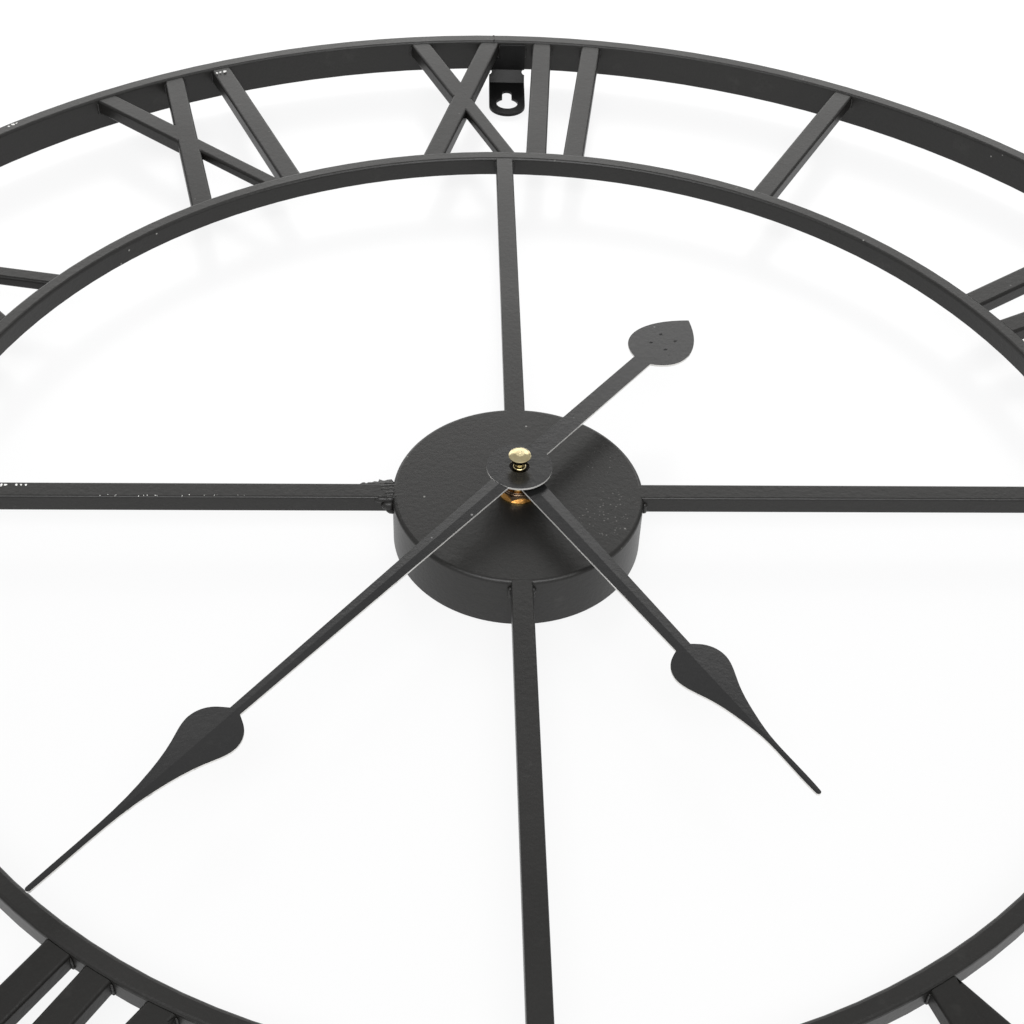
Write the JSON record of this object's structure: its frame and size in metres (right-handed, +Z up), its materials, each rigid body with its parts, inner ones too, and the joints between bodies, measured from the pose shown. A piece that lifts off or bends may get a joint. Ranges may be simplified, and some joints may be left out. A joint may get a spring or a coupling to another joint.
{
  "type": "wall clock",
  "caption": "Round see-through steel wall clock with Roman numeral bars between two rings, a hub with a battery movement, spade hands and a keyhole hanger.",
  "frame": {"origin": "seat of the wall screw at the closed end of the hanger's keyhole slot, on the wall plane", "axes": "+Z up to 12 o'clock, +X to 3 o'clock, -Y out of the wall into the room, so the wall is the plane Y = 0"},
  "size_m": [0.5999, 0.0354, 0.6],
  "materials": {
    "charcoal_steel": "matte charcoal powder coat",
    "black_strap": "satin black paint",
    "hand_steel": "satin charcoal paint with bare cut edges",
    "brass": "bright turned brass",
    "polished_brass": "polished brass",
    "copper_brass": "coppery brass, lightly tarnished",
    "dark_brass": "blackened brass",
    "black_plastic": "fine spark-textured black plastic",
    "white_plastic": "natural acetal",
    "rubber": "moulded rubber",
    "board_green": "solder-masked board",
    "nickel": "nickel plate",
    "copper_wire": "enamelled copper wire",
    "soft_iron": "punched soft iron",
    "battery_jacket": "printed plastic jacket, plain",
    "magnet": "sintered magnet"
  },
  "bodies": {
    "clock_frame": {"outer_ring": "charcoal_steel", "inner_ring": "charcoal_steel", "spoke_12": "charcoal_steel", "spoke_3": "charcoal_steel", "spoke_6": "charcoal_steel", "spoke_9": "charcoal_steel", "numeral_i": "charcoal_steel", "numeral_ii": "charcoal_steel", "numeral_iii": "charcoal_steel", "numeral_iiii": "charcoal_steel", "numeral_v": "charcoal_steel", "numeral_vi": "charcoal_steel", "numeral_vii": "charcoal_steel", "numeral_viii": "charcoal_steel", "numeral_ix": "charcoal_steel", "numeral_x": "charcoal_steel", "numeral_xi": "charcoal_steel", "numeral_xii": "charcoal_steel", "hub_cup": "charcoal_steel", "hanger_strap": "black_strap", "case_front": "black_plastic", "case_back": "black_plastic", "threaded_bush": "brass", "gasket": "rubber", "washer": "brass", "mounting_nut": "copper_brass", "circuit_board": "board_green", "quartz_can": "nickel", "coil_bobbin": "white_plastic", "coil_winding": "copper_wire", "coil_core": "soft_iron", "stator": "soft_iron", "aa_battery": "battery_jacket", "contact_positive": "nickel", "contact_negative": "nickel", "train_posts": "nickel"},
    "minute_works": {"minute_hand": "hand_steel", "minute_arbor": "brass", "centre_wheel": "white_plastic", "minute_collar": "dark_brass", "counterweight": "hand_steel", "cap_nut": "polished_brass"},
    "hour_works": {"hour_hand": "hand_steel", "hour_wheel": "white_plastic", "hour_collet": "dark_brass"},
    "motion_work": {"motion_wheel": "white_plastic"},
    "third_work": {"third_wheel": "white_plastic"},
    "seconds_work": {"seconds_wheel": "white_plastic"},
    "step_work": {"step_wheel": "white_plastic"},
    "rotor_work": {"rotor_pinion": "white_plastic", "rotor_magnet": "magnet"},
    "knob_work": {"setting_knob": "white_plastic"}
  },
  "joints": [
    {"name": "minute_spin", "type": "hinge", "parent": "clock_frame", "child": "minute_works", "pos_m": [0, -0.012, -0.2795], "axis": [0, 1, 0], "continuous": true},
    {"name": "hour_spin", "type": "hinge", "parent": "clock_frame", "child": "hour_works", "pos_m": [0, -0.012, -0.2795], "axis": [0, 1, 0], "continuous": true},
    {"name": "motion_spin", "type": "hinge", "parent": "clock_frame", "child": "motion_work", "pos_m": [0.00752, -0.012, -0.28224], "axis": [0, 1, 0], "continuous": true},
    {"name": "knob_spin", "type": "hinge", "parent": "clock_frame", "child": "knob_work", "pos_m": [0.01589, -0.012, -0.28371], "axis": [0, 1, 0], "continuous": true},
    {"name": "third_spin", "type": "hinge", "parent": "clock_frame", "child": "third_work", "pos_m": [-0.00721, -0.012, -0.27229], "axis": [0, 1, 0], "continuous": true},
    {"name": "seconds_spin", "type": "hinge", "parent": "clock_frame", "child": "seconds_work", "pos_m": [0, -0.012, -0.2795], "axis": [0, 1, 0], "continuous": true},
    {"name": "step_spin", "type": "hinge", "parent": "clock_frame", "child": "step_work", "pos_m": [0.0053, -0.012, -0.2742], "axis": [0, 1, 0], "continuous": true},
    {"name": "rotor_spin", "type": "hinge", "parent": "clock_frame", "child": "rotor_work", "pos_m": [0.01038, -0.012, -0.27183], "axis": [0, 1, 0], "continuous": true}
  ],
  "couplings": [
    {"joint": "hour_spin", "follows": "minute_spin", "ratio": 0.083333},
    {"joint": "motion_spin", "follows": "minute_spin", "ratio": -0.33333},
    {"joint": "knob_spin", "follows": "minute_spin", "ratio": 0.8},
    {"joint": "third_spin", "follows": "minute_spin", "ratio": -7.5},
    {"joint": "seconds_spin", "follows": "minute_spin", "ratio": 60},
    {"joint": "step_spin", "follows": "minute_spin", "ratio": -300},
    {"joint": "rotor_spin", "follows": "minute_spin", "ratio": 1800}
  ]
}
